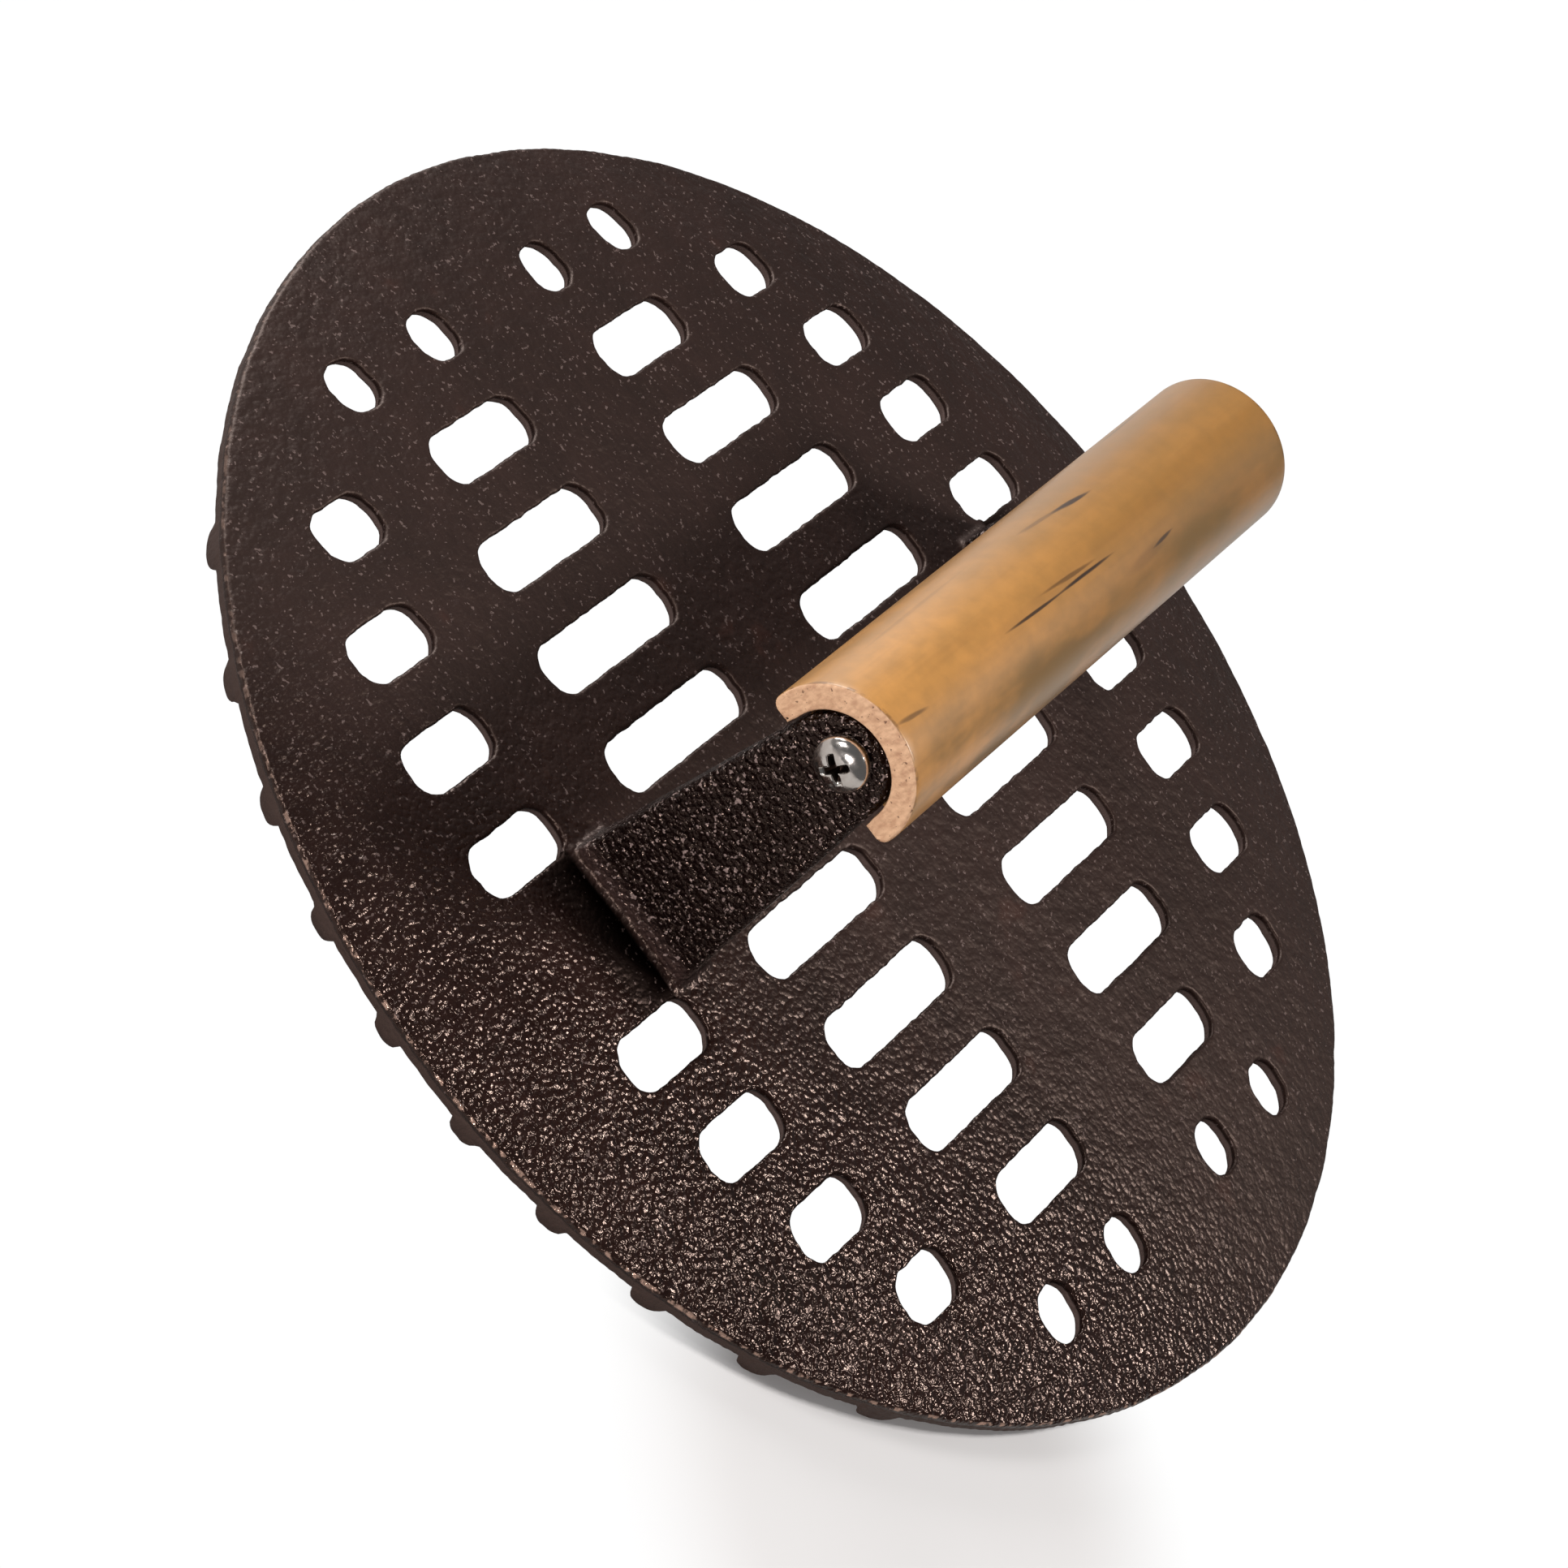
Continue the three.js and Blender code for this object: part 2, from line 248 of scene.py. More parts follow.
def outward(outline):
    """Unit normals that point away from the inside of a counterclockwise closed outline."""
    tangent = np.roll(outline, -1, axis=0) - np.roll(outline, 1, axis=0)
    normal = np.stack([tangent[:, 1], -tangent[:, 0]], 1)
    return normal / np.linalg.norm(normal, axis=1, keepdims=True)


def waver(points, strength, wavelength, seed):
    """A smooth unevenness at each point: a few plane waves of random direction, summed."""
    rng = np.random.default_rng(seed)
    total = np.zeros(len(points))
    for _ in range(7):
        turn, phase, scale = rng.uniform(0, 2 * np.pi, 2).tolist() + [rng.uniform(0.6, 1.8)]
        heading = points[:, 0] * np.cos(turn) + points[:, 1] * np.sin(turn)
        total += np.sin(heading * 2 * np.pi / (wavelength * scale) + phase)
    return strength * total / math.sqrt(7)


# ---- casting ----

def plate_top(points):
    """Height of the plate's upper surface: the crown falls with a high power of the distance
    from the centre, so the middle is nearly flat and the rim bends down."""
    share = np.hypot(points[:, 0], points[:, 1]) / RIM_RADIUS
    return RIM_TOP + CROWN_RISE * (1 - share ** CROWN_POWER) + cast_skin(points)


def rib_share(points):
    """1 over a rib's underside and 0 clear of every rib; between them a quarter ellipse that
    rounds the rib's lower corner. The ribs lie midway between the slot rows."""
    row = np.abs(points[:, 1]) / ROW_PITCH
    nearest = np.clip(np.floor(row), 0, ROW_COUNT - 1) + 0.5
    away = np.abs(row - nearest) * ROW_PITCH
    corner = np.clip((away - RIB_WIDTH / 2 + RIB_ROUND) / RIB_ROUND, 0, 1)
    return np.sqrt(1 - corner * corner)


def cast_skin(points):
    """The slight lumpiness that sand leaves on a cast face."""
    return waver(points, 0.05, 14, 31) + waver(points, 0.03, 5, 32) + waver(points, 0.018, 2.8, 33)


def plate_underside(points):
    """The crown repeated one thickness lower, with the ribs let down from it to Z = 0."""
    plain = plate_top(points) - PLATE_THICKNESS
    return plain * (1 - rib_share(points))


def slot_spans(y):
    """The two slots on one side of a row as start and end distances along X."""
    share = (abs(y) / (RIM_RADIUS - SLOT_SIDE_MARGIN)) ** FIELD_POWER
    reach = (RIM_RADIUS - SLOT_END_MARGIN) * (1 - share) ** (1 / FIELD_POWER)
    ring = RING_SHARE * reach
    inner_start = CENTRE_BRIDGE / 2
    inner_end = max(ring - RING_BRIDGE / 2, inner_start + SLOT_WIDTH)
    outer_start = min(ring + RING_BRIDGE / 2, reach - SLOT_WIDTH)
    return [(inner_start, inner_end), (outer_start, reach)]


def slot_outline(start, end, y):
    """A rounded rectangle, counterclockwise, with the slight waver of a cast edge."""
    half = SLOT_WIDTH / 2
    r = min(SLOT_CORNER_RADIUS, half, (end - start) / 2)
    corners = [
        arc((end - r, y - half + r), r, -0.25, 0, 12),
        arc((end - r, y + half - r), r, 0, 0.25, 12),
        arc((start + r, y + half - r), r, 0.25, 0.5, 12),
        arc((start + r, y - half + r), r, 0.5, 0.75, 12),
    ]
    outline = spaced(np.vstack(corners), SLOT_STEP)
    uneven = (waver(outline, 0.04, 8, 11) + waver(outline, 0.06, 2.8, 12)
              + waver(outline, 0.045, 1.6, 13))
    return outline + outward(outline) * uneven[:, None]


def edge_rounding(radius, count):
    """Offsets (sideways, down) of a quarter round, from the flat face to the wall."""
    angle = np.linspace(0, np.pi / 2, count)
    return radius * (1 - np.sin(angle)), radius * (1 - np.cos(angle))


def hole_wall(shell, outline):
    """The wall of one slot as a stack of rings: a quarter round at the upper edge, a wall that
    leans outwards going down, and a larger quarter round at the lower edge. Returns the rings
    that the upper and lower faces are cut back to."""
    normal = outward(outline)
    collar = outline + normal * (TOP_EDGE_ROUND + EDGE_COLLAR)
    rings = [np.column_stack([collar, plate_top(collar)])]
    out, down = edge_rounding(TOP_EDGE_ROUND, 5)
    for sideways, drop in zip(out, down):
        ring = outline + normal * sideways
        rings.append(np.column_stack([ring, plate_top(ring) - drop]))
    out, up = edge_rounding(BOTTOM_EDGE_ROUND, 4)
    for sideways, rise in zip(out[::-1], up[::-1]):
        ring = outline + normal * (SLOT_DRAFT + sideways)
        rings.append(np.column_stack([ring, plate_underside(ring) + rise]))
    shell.grid(np.array(rings), flip=True, wrap=True)
    return rings[0][:, :2], rings[-1][:, :2]


def rim_wall(shell):
    """The rim from the upper face round to the lower face: two quarter rounds with the side
    between them, and lower down the rib ends stand out of it as the underside falls."""
    count = int(2 * np.pi * RIM_RADIUS / RIM_STEP)
    turn = np.arange(count) * 2 * np.pi / count
    round_ = np.stack([np.cos(turn), np.sin(turn)], 1)
    uneven = waver(round_ * RIM_RADIUS, 0.07, 9, 21) + waver(round_ * RIM_RADIUS, 0.04, 2.5, 22)
    edge = RIM_RADIUS - RIM_WAVER_LIMIT + np.clip(uneven, -RIM_WAVER_LIMIT, RIM_WAVER_LIMIT)
    collar = round_ * (edge - RIM_EDGE_ROUND - EDGE_COLLAR)[:, None]
    rings = [np.column_stack([collar, plate_top(collar)])]
    out, down = edge_rounding(RIM_EDGE_ROUND, 5)
    for sideways, drop in zip(out, down):
        ring = round_ * (edge - sideways)[:, None]
        rings.append(np.column_stack([ring, plate_top(ring) - drop]))
    out, up = edge_rounding(RIM_LOWER_ROUND, 3)
    for sideways, rise in zip(out[::-1], up[::-1]):
        ring = round_ * (edge - RIM_LOWER_INSET - sideways)[:, None]
        rings.append(np.column_stack([ring, plate_underside(ring) + rise]))
    shell.grid(np.array(rings), flip=True, wrap=True)
    return rings[0][:, :2], rings[-1][:, :2]


def upright_rings(side):
    """Sections of an upright from its foot fillet to its top, each a ring of the same number of
    points. Level by level a ring is a rounded rectangle: the faces lean in with the draft, the
    flanks taper to the half-round top, and the rounded edge follows the half round, so that a
    level cuts it at sqrt(distance from the arch's centre squared - height squared)."""
    foot = float(plate_top(np.array([[UPRIGHT_OUTER, 0.0]]))[0])
    edge = UPRIGHT_EDGE_ROUND
    turn = np.linspace(0, np.pi / 2, CORNER_POINTS)
    flat = np.linspace(-1, 1, FACE_POINTS + 2)[1:-1]
    flank = np.linspace(1, -1, FLANK_POINTS + 2)[1:-1]
    fillet = np.linspace(0, np.pi / 2, 8)[:-1]
    levels = [(foot + FOOT_FILLET * (1 - math.cos(a)), FOOT_FILLET * (1 - math.sin(a)))
              for a in fillet]
    straight = np.linspace(foot + FOOT_FILLET, GRIP_AXIS, 40)
    levels += [(z, 0.0) for z in straight]
    arch = np.sin(np.linspace(0, np.pi / 2, 26)[1:])
    levels += [(GRIP_AXIS + TOP_RADIUS * a, 0.0) for a in arch]
    rings = []
    for z, spread in levels:
        lean = (UPRIGHT_TOP - z) / (UPRIGHT_TOP - foot)
        outer = UPRIGHT_OUTER + OUTER_DRAFT * lean
        inner = UPRIGHT_INNER - INNER_DRAFT * lean
        middle, half = (outer + inner) / 2, (outer - inner) / 2
        height = max(0.0, z - GRIP_AXIS)
        taper = max(0.0, (GRIP_AXIS - z) / (GRIP_AXIS - foot))
        width = TOP_RADIUS + (FOOT_HALF_WIDTH - TOP_RADIUS) * taper
        first = 0.0
        if height > width - edge:
            first = math.asin(min(1.0, (height - (width - edge)) / edge))
        sweep = first + (np.pi / 2 - first) * turn / (np.pi / 2)
        reach = width - edge + edge * np.sin(sweep)
        across = np.sqrt(np.maximum(reach ** 2 - height ** 2, 0)) + spread
        thick = half - edge + edge * np.cos(sweep) + spread
        corner = np.stack([thick, across], 1)
        half_ring = np.vstack([
            corner,
            np.stack([flank * thick[-1], np.full(FLANK_POINTS, across[-1])], 1),
            corner[::-1] * [-1, 1],
            np.stack([np.full(FACE_POINTS, -thick[0]), -flat * across[0]], 1),
        ])
        plan = np.vstack([half_ring, -half_ring])
        plan[:, 0] += middle
        plan *= side
        rings.append(np.column_stack([plan, np.full(len(plan), z)]))
    rings = np.array(rings)
    settle = np.clip(1 - (rings[:, :, 2] - foot) / SETTLE_HEIGHT, 0, 1)
    local = plate_top(rings[0, :, :2]) - foot
    rings[:, :, 2] += settle * local[None, :]
    return rings


def face_points(spacing):
    """A lattice of plan points over the plate, in rows along X."""
    line = np.arange(-RIM_RADIUS, RIM_RADIUS + spacing, spacing)
    x, y = np.meshgrid(line, line)
    return np.stack([x.ravel(), y.ravel()], 1)


def rib_points(spacing):
    """Plan points in lines along the ribs, close together across their flanks."""
    quarter = np.sin(np.linspace(0, np.pi / 2, 5))
    corner = RIB_WIDTH / 2 - RIB_ROUND + RIB_ROUND * quarter
    across = np.concatenate([[0], corner, [RIB_WIDTH / 2 + 0.02, RIB_WIDTH / 2 + 1.5]])
    across = np.concatenate([-across[:0:-1], across])
    ribs = (np.arange(-ROW_COUNT, ROW_COUNT) + 0.5) * ROW_PITCH
    line = np.arange(-RIM_RADIUS, RIM_RADIUS, spacing)
    y = (ribs[:, None] + across[None, :]).ravel()
    grid_x, grid_y = np.meshgrid(line, y)
    return np.stack([grid_x.ravel(), grid_y.ravel()], 1)


def inside(points, outline):
    """Which points lie inside a closed outline: the crossings of a ray are counted."""
    x, y = points[:, :1], points[:, 1:]
    x0, y0 = outline[:, 0], outline[:, 1]
    x1, y1 = np.roll(x0, -1), np.roll(y0, -1)
    spans = (y0 > y) != (y1 > y)
    slope = np.where(y1 == y0, 1e-12, y1 - y0)
    return (np.sum(spans & (x < (x1 - x0) * (y - y0) / slope + x0), axis=1) % 2) == 1


def near(points, outline, distance):
    """Which points lie inside a closed outline or closer to its points than a distance."""
    low, high = outline.min(0) - distance, outline.max(0) + distance
    boxed = np.all((points > low) & (points < high), axis=1)
    close = np.zeros(len(points), bool)
    at = np.flatnonzero(boxed)
    if len(at):
        gap = np.linalg.norm(points[at][:, None] - outline[None], axis=2).min(1)
        close[at] = (gap < distance) | inside(points[at], outline)
    return close


def perforated_face(shell, rim, holes, extra, height):
    """A face of the plate: its rim and hole outlines and the lattice between them joined into
    triangles, each point lifted to height(plan)."""
    keep = np.hypot(extra[:, 0], extra[:, 1]) < RIM_RADIUS - RIM_GAP
    for hole in holes:
        keep &= ~near(extra, hole, OUTLINE_GAP)
    outlines = [rim] + holes
    points = np.vstack(outlines + [extra[keep]])
    edges = []
    start = 0
    for outline in outlines:
        index = np.arange(start, start + len(outline))
        edges.append(np.stack([index, np.roll(index, -1)], 1))
        start += len(outline)
    result = delaunay_2d_cdt(
        [Vector(p) for p in points], np.vstack(edges).tolist(), [], 0, 1e-7
    )
    plan = np.array([points[given[0]] if given else place[:]
                     for place, given in zip(result[0], result[3])])
    triangles = np.array(result[2])
    centre = plan[triangles].mean(1)
    solid = np.hypot(centre[:, 0], centre[:, 1]) < RIM_RADIUS
    solid &= inside(centre, rim)
    for hole in holes:
        low, high = hole.min(0), hole.max(0)
        at = np.flatnonzero(np.all((centre > low) & (centre < high), axis=1))
        solid[at[inside(centre[at], hole)]] = False
    shell.add(np.column_stack([plan, height(plan)]), triangles[solid])


def tube(name, radius, start, end):
    """A closed round bar along X on the screws' axis, for boring a hole."""
    turn = np.linspace(0, 2 * np.pi, 40, endpoint=False)
    ring = np.stack([0 * turn, np.cos(turn), np.sin(turn)], 1)
    middle = np.array([0, 0, SCREW_AXIS])
    rings = [ring * r + middle + [x, 0, 0]
             for x, r in ((start, 0), (start, radius), (end, radius), (end, 0))]
    shell = Shell()
    shell.grid(np.array(rings), wrap=True)
    return shell.mesh(name)


def build_casting(material):
    """The whole casting as one closed surface: upper face, underside, slot walls, rim and the
    two uprights, which rise out of openings in the upper face."""
    shell = Shell()
    rim_above, rim_below = rim_wall(shell)
    above, below = [], []
    for row in range(1, ROW_COUNT + 1):
        for start, end in slot_spans(row * ROW_PITCH):
            for y in (row * ROW_PITCH, -row * ROW_PITCH):
                for low, high in ((start, end), (-end, -start)):
                    upper, lower = hole_wall(shell, slot_outline(low, high, y))
                    above.append(upper)
                    below.append(lower)
    for side in (1, -1):
        rings = upright_rings(side)
        shell.grid(rings, wrap=True)
        above.append(rings[0][:, :2])
    perforated_face(shell, rim_above, above, face_points(FACE_SPACING), plate_top)
    perforated_face(shell, rim_below, below, rib_points(UNDERSIDE_SPACING), plate_underside)
    holes = [tube("bore", BORE_RADIUS, side * (UPRIGHT_INNER - 3), side * (UPRIGHT_OUTER + 6))
             for side in (1, -1)]
    mesh = bored(shell.mesh("cast_press"), holes)
    make_piece("cast_press", mesh, material, "press_casting", 50)


# ---- grip ----

def spread(path, count):
    """An open path resampled to a number of evenly spaced points."""
    along = np.concatenate([[0], np.cumsum(np.linalg.norm(np.diff(path, axis=0), axis=1))])
    at = np.linspace(0, along[-1], count)
    return np.stack([np.interp(at, along, path[:, k]) for k in (0, 1)], 1)


def grip_outside():
    """The grip's outer line across its length, from one tip of the socket's mouth along the
    flat, round the corner, over the half round and back down to the other tip."""
    height = GRIP_UNDERSIDE + GRIP_CORNER_RADIUS
    drop = GRIP_AXIS - height
    reach = math.sqrt((GRIP_RADIUS - GRIP_CORNER_RADIUS) ** 2 - drop ** 2)
    meets = math.atan2(drop, reach) / (2 * math.pi)
    mouth = [[SOCKET_MOUTH, GRIP_UNDERSIDE]]
    corner = arc((reach, height), GRIP_CORNER_RADIUS, -0.25, -meets, 24)
    over = arc((0, GRIP_AXIS), GRIP_RADIUS, -meets, 0.5 + meets, 240)
    half = np.vstack([mouth, corner])
    return spread(np.vstack([half, over, half[::-1] * [-1, 1]]), GRIP_POINTS)


def socket_line():
    """The socket's line: up from one tip of its mouth, round over the upright and down."""
    over = arc((0, GRIP_AXIS), SOCKET_RADIUS, 0, 0.5, 200)
    tips = np.array([[SOCKET_MOUTH, GRIP_UNDERSIDE]])
    return spread(np.vstack([tips, over, tips * [-1, 1]]), GRIP_POINTS)


def along(section, x):
    """A section in Y and Z repeated at each distance along X."""
    x = np.asarray(x, float)
    rows = np.repeat(section[None], len(x), axis=0)
    return np.concatenate([np.broadcast_to(x[:, None, None], rows.shape[:2] + (1,)), rows], 2)


def build_grip(material):
    """The half-round bar as one closed surface: its outside, its flat, and at each end a
    socket with its arch, its floor, and an end face whose edges are rubbed round and nicked."""
    outside, arch = grip_outside(), socket_line()
    flat = np.linspace(outside[0], outside[-1], GRIP_POINTS)
    edge = GRIP_END - GRIP_EDGE_ROUND
    shell = Shell()
    between = np.linspace(-SOCKET_FLOOR, SOCKET_FLOOR, 61)
    beyond = np.linspace(SOCKET_FLOOR, edge, 5)[1:]
    shell.grid(along(outside, np.concatenate([-beyond[::-1], between, beyond])))
    shell.grid(along(flat, between))
    loop = np.vstack([outside, arch[-2:0:-1]])
    inward = -outward(loop)
    nicks = waver(loop * 1.7, 1, 2.2, 41) - 1.1
    for side in (1, -1):
        shell.grid(along(arch, side * np.linspace(SOCKET_FLOOR, edge, 5)))
        steps = np.linspace(0, 1, 5)[:, None, None]
        shell.grid(along(flat, [side * SOCKET_FLOOR]) * (1 - steps)
                   + along(arch, [side * SOCKET_FLOOR]) * steps)
        depth = GRIP_EDGE_ROUND * (1 + 0.9 * np.clip(nicks, 0, 1))
        rings = []
        for turn in np.linspace(0, np.pi / 2, 5):
            ring = loop + inward * (depth * (1 - math.cos(turn)))[:, None]
            x = np.full(len(ring), side * (edge + GRIP_EDGE_ROUND * math.sin(turn)))
            rings.append(np.column_stack([x, ring]))
        shell.grid(np.array(rings), wrap=True)
        face = rings[-1]
        outer = face[:GRIP_POINTS]
        inner = np.vstack([outer[:1], face[:GRIP_POINTS - 1:-1], outer[-1:]])
        steps = np.linspace(0, 1, 7)[:, None, None]
        shell.grid(outer[None] * (1 - steps) + inner[None] * steps)
    bores = [tube("bore", BORE_RADIUS, side * (SCREW_SEAT - SHANK_LENGTH - 1),
                  side * (SOCKET_FLOOR + 2)) for side in (1, -1)]
    mesh = bored(shell.mesh("grip_bar"), bores)
    make_piece("grip_bar", mesh, material, "wooden_grip", 38)


# ---- screws ----

def cross_line(span, blade, turn):
    """The cross recess as a closed line: at each angle from an arm's middle it lies at the
    nearer of the arm's end and the blade's side."""
    angle = np.linspace(0, 2 * np.pi, SCREW_POINTS, endpoint=False)
    off = np.abs((angle + np.pi / 4) % (np.pi / 2) - np.pi / 4)
    end = span / 2 / np.cos(off)
    side = blade / 2 / np.maximum(np.sin(off), 1e-6)
    radius = (end ** -9 + side ** -9) ** (-1 / 9)
    return np.stack([radius * np.cos(angle + turn), radius * np.sin(angle + turn)], 1)


def build_screw(name, side, turn, material, node):
    """A pan-head wood screw as one stack of closed rings from its point up the threaded shank,
    out under the head, over the dome, and down into the cross recess to its middle. The
    thread's radius follows the fraction of a pitch between a point's height and its angle."""
    angle = np.linspace(0, 2 * np.pi, SCREW_POINTS, endpoint=False) + turn
    circle = np.stack([np.cos(angle), np.sin(angle)], 1)
    rings = []
    for height in np.arange(-SHANK_LENGTH, -0.01, THREAD_PITCH / THREAD_STEPS):
        taper = min(1.0, (height + SHANK_LENGTH) / SHANK_TIP) ** TIP_POWER
        fraction = (height / THREAD_PITCH - angle / (2 * np.pi)) % 1.0
        crest = np.clip(1 - np.abs(fraction - 0.5) * 4.4, 0, 1)
        plain = height > -PLAIN_LENGTH
        radius = (SHANK_RADIUS - THREAD_DEPTH * np.where(plain, PLAIN_SHARE, 1 - crest)) * taper
        rings.append(np.column_stack([circle * radius[:, None], np.full(SCREW_POINTS, height)]))
    rings.append(np.column_stack([circle * (SHANK_RADIUS - 0.2), np.zeros(SCREW_POINTS)]))
    for radius, height in ((HEAD_RADIUS - 0.25, 0), (HEAD_RADIUS - 0.07, 0.08),
                           (HEAD_RADIUS, 0.28), (HEAD_RADIUS, HEAD_EDGE)):
        rings.append(np.column_stack([circle * radius, np.full(SCREW_POINTS, height)]))
    top = cross_line(RECESS_SPAN, RECESS_BLADE, turn)

    def dome(plan):
        share = np.minimum(np.hypot(plan[:, 0], plan[:, 1]) / HEAD_RADIUS, 1)
        return HEAD_EDGE + (HEAD_HEIGHT - HEAD_EDGE) * np.sqrt(1 - share ** DOME_POWER)

    lip = cross_line(RECESS_SPAN + RECESS_LIP, RECESS_BLADE + RECESS_LIP, turn)
    for step in np.sin(np.linspace(np.pi / 2, 0, 18)):
        plan = circle * HEAD_RADIUS * step + lip * (1 - step)
        rings.append(np.column_stack([plan, dome(plan)]))
    rings.append(np.column_stack([top, dome(lip) - 0.1]))
    for step in np.linspace(0.1, 1, 8):
        ring = cross_line(RECESS_SPAN * (1 - 0.62 * step), RECESS_BLADE * (1 - 0.3 * step), turn)
        height = (dome(top) - 0.1) * (1 - step) + (HEAD_HEIGHT - RECESS_DEPTH) * step
        rings.append(np.column_stack([ring, height]))
    rings.append(np.column_stack([0 * circle, np.full(SCREW_POINTS,
                                                      HEAD_HEIGHT - RECESS_DEPTH - 0.3)]))
    rings = np.array(rings)
    rings[:, :, 2] += SCREW_SEAT
    placed = np.stack([side * rings[:, :, 2], side * rings[:, :, 0],
                       rings[:, :, 1] + SCREW_AXIS], 2)
    shell = Shell()
    shell.grid(placed, wrap=True)
    make_piece(name, shell.mesh(name), material, node, 50)


# ---- nodes ----

def add(tree, kind, sockets=None, **settings):
    """A shader node with its settings; a socket takes a value or another node's output."""
    node = tree.nodes.new("ShaderNode" + kind)
    for key, value in settings.items():
        setattr(node, key, value)
    for key, value in (sockets or {}).items():
        if isinstance(value, bpy.types.NodeSocket):
            tree.links.new(value, node.inputs[key])
        else:
            node.inputs[key].default_value = value
    return node


def calc(tree, operation, *values, clamp=False):
    node = add(tree, "Math", dict(enumerate(values)), operation=operation, use_clamp=clamp)
    return node.outputs[0]


def graded(tree, value, low, high, start=0.0, end=1.0, smooth=True):
    """A value carried from one range to another, held at its ends."""
    node = add(tree, "MapRange", {
        "Value": value, "From Min": low, "From Max": high, "To Min": start, "To Max": end,
    }, interpolation_type="SMOOTHSTEP" if smooth else "LINEAR")
    return node.outputs["Result"]


def blend(tree, factor, first, second, mode="MIX"):
    node = add(tree, "Mix", {0: factor, 6: first, 7: second}, data_type="RGBA",
               blend_type=mode)
    return node.outputs[2]


def parts_of(tree, vector):
    return add(tree, "SeparateXYZ", {0: vector}).outputs


def new_group(name, inputs, outputs):
    group = bpy.data.node_groups.new(name, "ShaderNodeTree")
    for label, kind, value in inputs:
        socket = group.interface.new_socket(label, in_out="INPUT", socket_type=kind)
        if value is not None:
            socket.default_value = value
    for label, kind in outputs:
        group.interface.new_socket(label, in_out="OUTPUT", socket_type=kind)
    return group, group.nodes.new("NodeGroupInput").outputs, group.nodes.new("NodeGroupOutput")


def use(tree, group, sockets):
    return add(tree, "Group", sockets, node_tree=group).outputs


def distance(tree, a, b):
    """The square root of the sum of two squares."""
    return calc(tree, "SQRT", calc(tree, "ADD", calc(tree, "MULTIPLY", a, a),
                                   calc(tree, "MULTIPLY", b, b)))


def grain_group():
    """Fine surface relief of rounded grains: each grain is a dome that falls off with the
    square of the distance to its middle, weighed with a noise, and the highest are picked out
    as specks. Size is the width of a grain in metres."""
    group, given, out = new_group(
        "grain",
        [("Vector", "NodeSocketVector", None), ("Size", "NodeSocketFloat", 0.001),
         ("Roundness", "NodeSocketFloat", 0.5), ("Speck level", "NodeSocketFloat", 0.62)],
        [("Height", "NodeSocketFloat"), ("Specks", "NodeSocketFloat")],
    )
    scale = calc(group, "DIVIDE", 1.0, given["Size"])
    noise = add(group, "TexNoise", {"Vector": given["Vector"], "Scale": scale, "Detail": 2.0,
                                    "Roughness": 0.5}).outputs[0]
    away = add(group, "TexVoronoi", {"Vector": given["Vector"], "Scale": scale,
                                     "Smoothness": 0.35}, feature="SMOOTH_F1").outputs["Distance"]
    dome = calc(group, "SUBTRACT", 1.0, calc(group, "MULTIPLY", away, away))
    share = given["Roundness"]
    uneven = calc(group, "MULTIPLY", noise, calc(group, "SUBTRACT", 1.0, share))
    height = calc(group, "ADD", uneven, calc(group, "MULTIPLY", dome, share))
    specks = graded(group, noise, given["Speck level"],
                    calc(group, "ADD", given["Speck level"], 0.06))
    group.links.new(height, out.inputs["Height"])
    group.links.new(specks, out.inputs["Specks"])
    return group


def mottle_group():
    """Broad soft patches: one noise whose middle range is spread over 0 to 1."""
    group, given, out = new_group(
        "mottle",
        [("Vector", "NodeSocketVector", None), ("Size", "NodeSocketFloat", 0.02),
         ("Softness", "NodeSocketFloat", 0.2), ("Level", "NodeSocketFloat", 0.5)],
        [("Mask", "NodeSocketFloat")],
    )
    noise = add(group, "TexNoise", {"Vector": given["Vector"],
                                    "Scale": calc(group, "DIVIDE", 1.0, given["Size"]),
                                    "Detail": 3.0, "Roughness": 0.55}).outputs[0]
    mask = graded(group, noise, calc(group, "SUBTRACT", given["Level"], given["Softness"]),
                  calc(group, "ADD", given["Level"], given["Softness"]))
    group.links.new(mask, out.inputs["Mask"])
    return group


def streak_group():
    """A dark lens-shaped mark along the grain: full in its middle, gone where the squares of
    the distances along and across, as shares of its half length and half width, add up to 1.
    All sizes in metres; Lean is its slope across the grain."""
    group, given, out = new_group(
        "streak",
        [("Along", "NodeSocketFloat", 0.0), ("Across", "NodeSocketFloat", 0.0),
         ("Middle along", "NodeSocketFloat", 0.0), ("Middle across", "NodeSocketFloat", 0.0),
         ("Half length", "NodeSocketFloat", 0.01), ("Half width", "NodeSocketFloat", 0.0005),
         ("Lean", "NodeSocketFloat", 0.0)],
        [("Mask", "NodeSocketFloat")],
    )
    lengthways = calc(group, "SUBTRACT", given["Along"], given["Middle along"])
    crossways = calc(group, "SUBTRACT", calc(group, "SUBTRACT", given["Across"],
                                             given["Middle across"]),
                     calc(group, "MULTIPLY", lengthways, given["Lean"]))
    u = calc(group, "DIVIDE", lengthways, given["Half length"])
    v = calc(group, "DIVIDE", crossways, given["Half width"])
    away = calc(group, "ADD", calc(group, "MULTIPLY", u, u), calc(group, "MULTIPLY", v, v))
    group.links.new(graded(group, away, 0.1, 1.0, 1.0, 0.0), out.inputs["Mask"])
    return group


GRAIN = grain_group()
MOTTLE = mottle_group()
STREAK = streak_group()


def new_material(name):
    material = bpy.data.materials.new(name)
    material.use_nodes = True
    tree = material.node_tree
    return material, tree, tree.nodes["Principled BSDF"]


